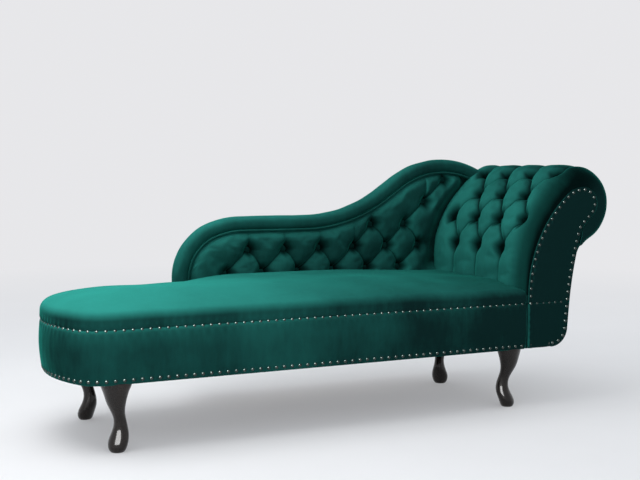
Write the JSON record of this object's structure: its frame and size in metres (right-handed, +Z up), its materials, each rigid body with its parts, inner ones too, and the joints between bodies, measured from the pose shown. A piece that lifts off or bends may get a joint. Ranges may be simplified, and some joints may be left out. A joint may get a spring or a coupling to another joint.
{
  "type": "chaise longue",
  "caption": "Velvet chaise longue with a rolled, deep-buttoned head arm, a low shaped backrest, an arched foot end, nail-trimmed sides and short cabriole legs.",
  "frame": {"origin": "on the floor, under the centre of the bounding box", "axes": "+X towards the rolled head arm, +Y towards the backrest, +Z up"},
  "size_m": [1.6972, 0.5892, 0.745],
  "materials": {
    "velvet": "green velvet pile",
    "dust_cloth": "black non-woven",
    "nail_metal": "antique pewter",
    "leg_wood": "dark gloss stain",
    "zinc_steel": "zinc plated",
    "foam": "open-cell foam",
    "fibre_board": "hardboard and card",
    "plywood": "raw plywood",
    "timber": "raw pine"
  },
  "bodies": {
    "root": {"back_battens": "timber", "back_bolts": "zinc_steel", "back_border_roll": "velvet", "back_buttons": "velvet", "back_dust_cover": "dust_cloth", "back_insert_nuts": "zinc_steel", "back_lower_rail": "timber", "back_outer_cover": "velvet", "back_pad": "velvet", "back_panel": "plywood", "back_piping": "velvet", "back_washers": "zinc_steel", "head_apron": "velvet", "head_apron_nails": "nail_metal", "head_bolts": "zinc_steel", "head_buttons": "velvet", "head_dust_cover": "dust_cloth", "head_front_facing": "velvet", "head_front_nails": "nail_metal", "head_front_panel": "plywood", "head_inner_board": "fibre_board", "head_lining": "velvet", "head_outer_board": "fibre_board", "head_outer_cover": "velvet", "head_pad": "velvet", "head_rear_facing": "velvet", "head_rear_nails": "nail_metal", "head_rear_panel": "plywood", "head_roll_core": "fibre_board", "head_stretchers": "timber", "head_tee_nuts": "zinc_steel", "head_washers": "zinc_steel", "leg_back_foot": "leg_wood", "leg_back_head": "leg_wood", "leg_bolts": "zinc_steel", "leg_front_foot": "leg_wood", "leg_front_head": "leg_wood", "leg_tee_nuts": "zinc_steel", "seat_back_rail": "timber", "seat_border": "velvet", "seat_corner_blocks": "timber", "seat_cover": "velvet", "seat_cross_rails": "timber", "seat_dust_cover": "dust_cloth", "seat_foam": "foam", "seat_foot_rail": "plywood", "seat_front_rail": "timber", "seat_head_rail": "timber", "seat_lower_nails": "nail_metal", "seat_spring_clips": "zinc_steel", "seat_springs": "zinc_steel", "seat_upper_nails": "nail_metal"}
  },
  "joints": []
}
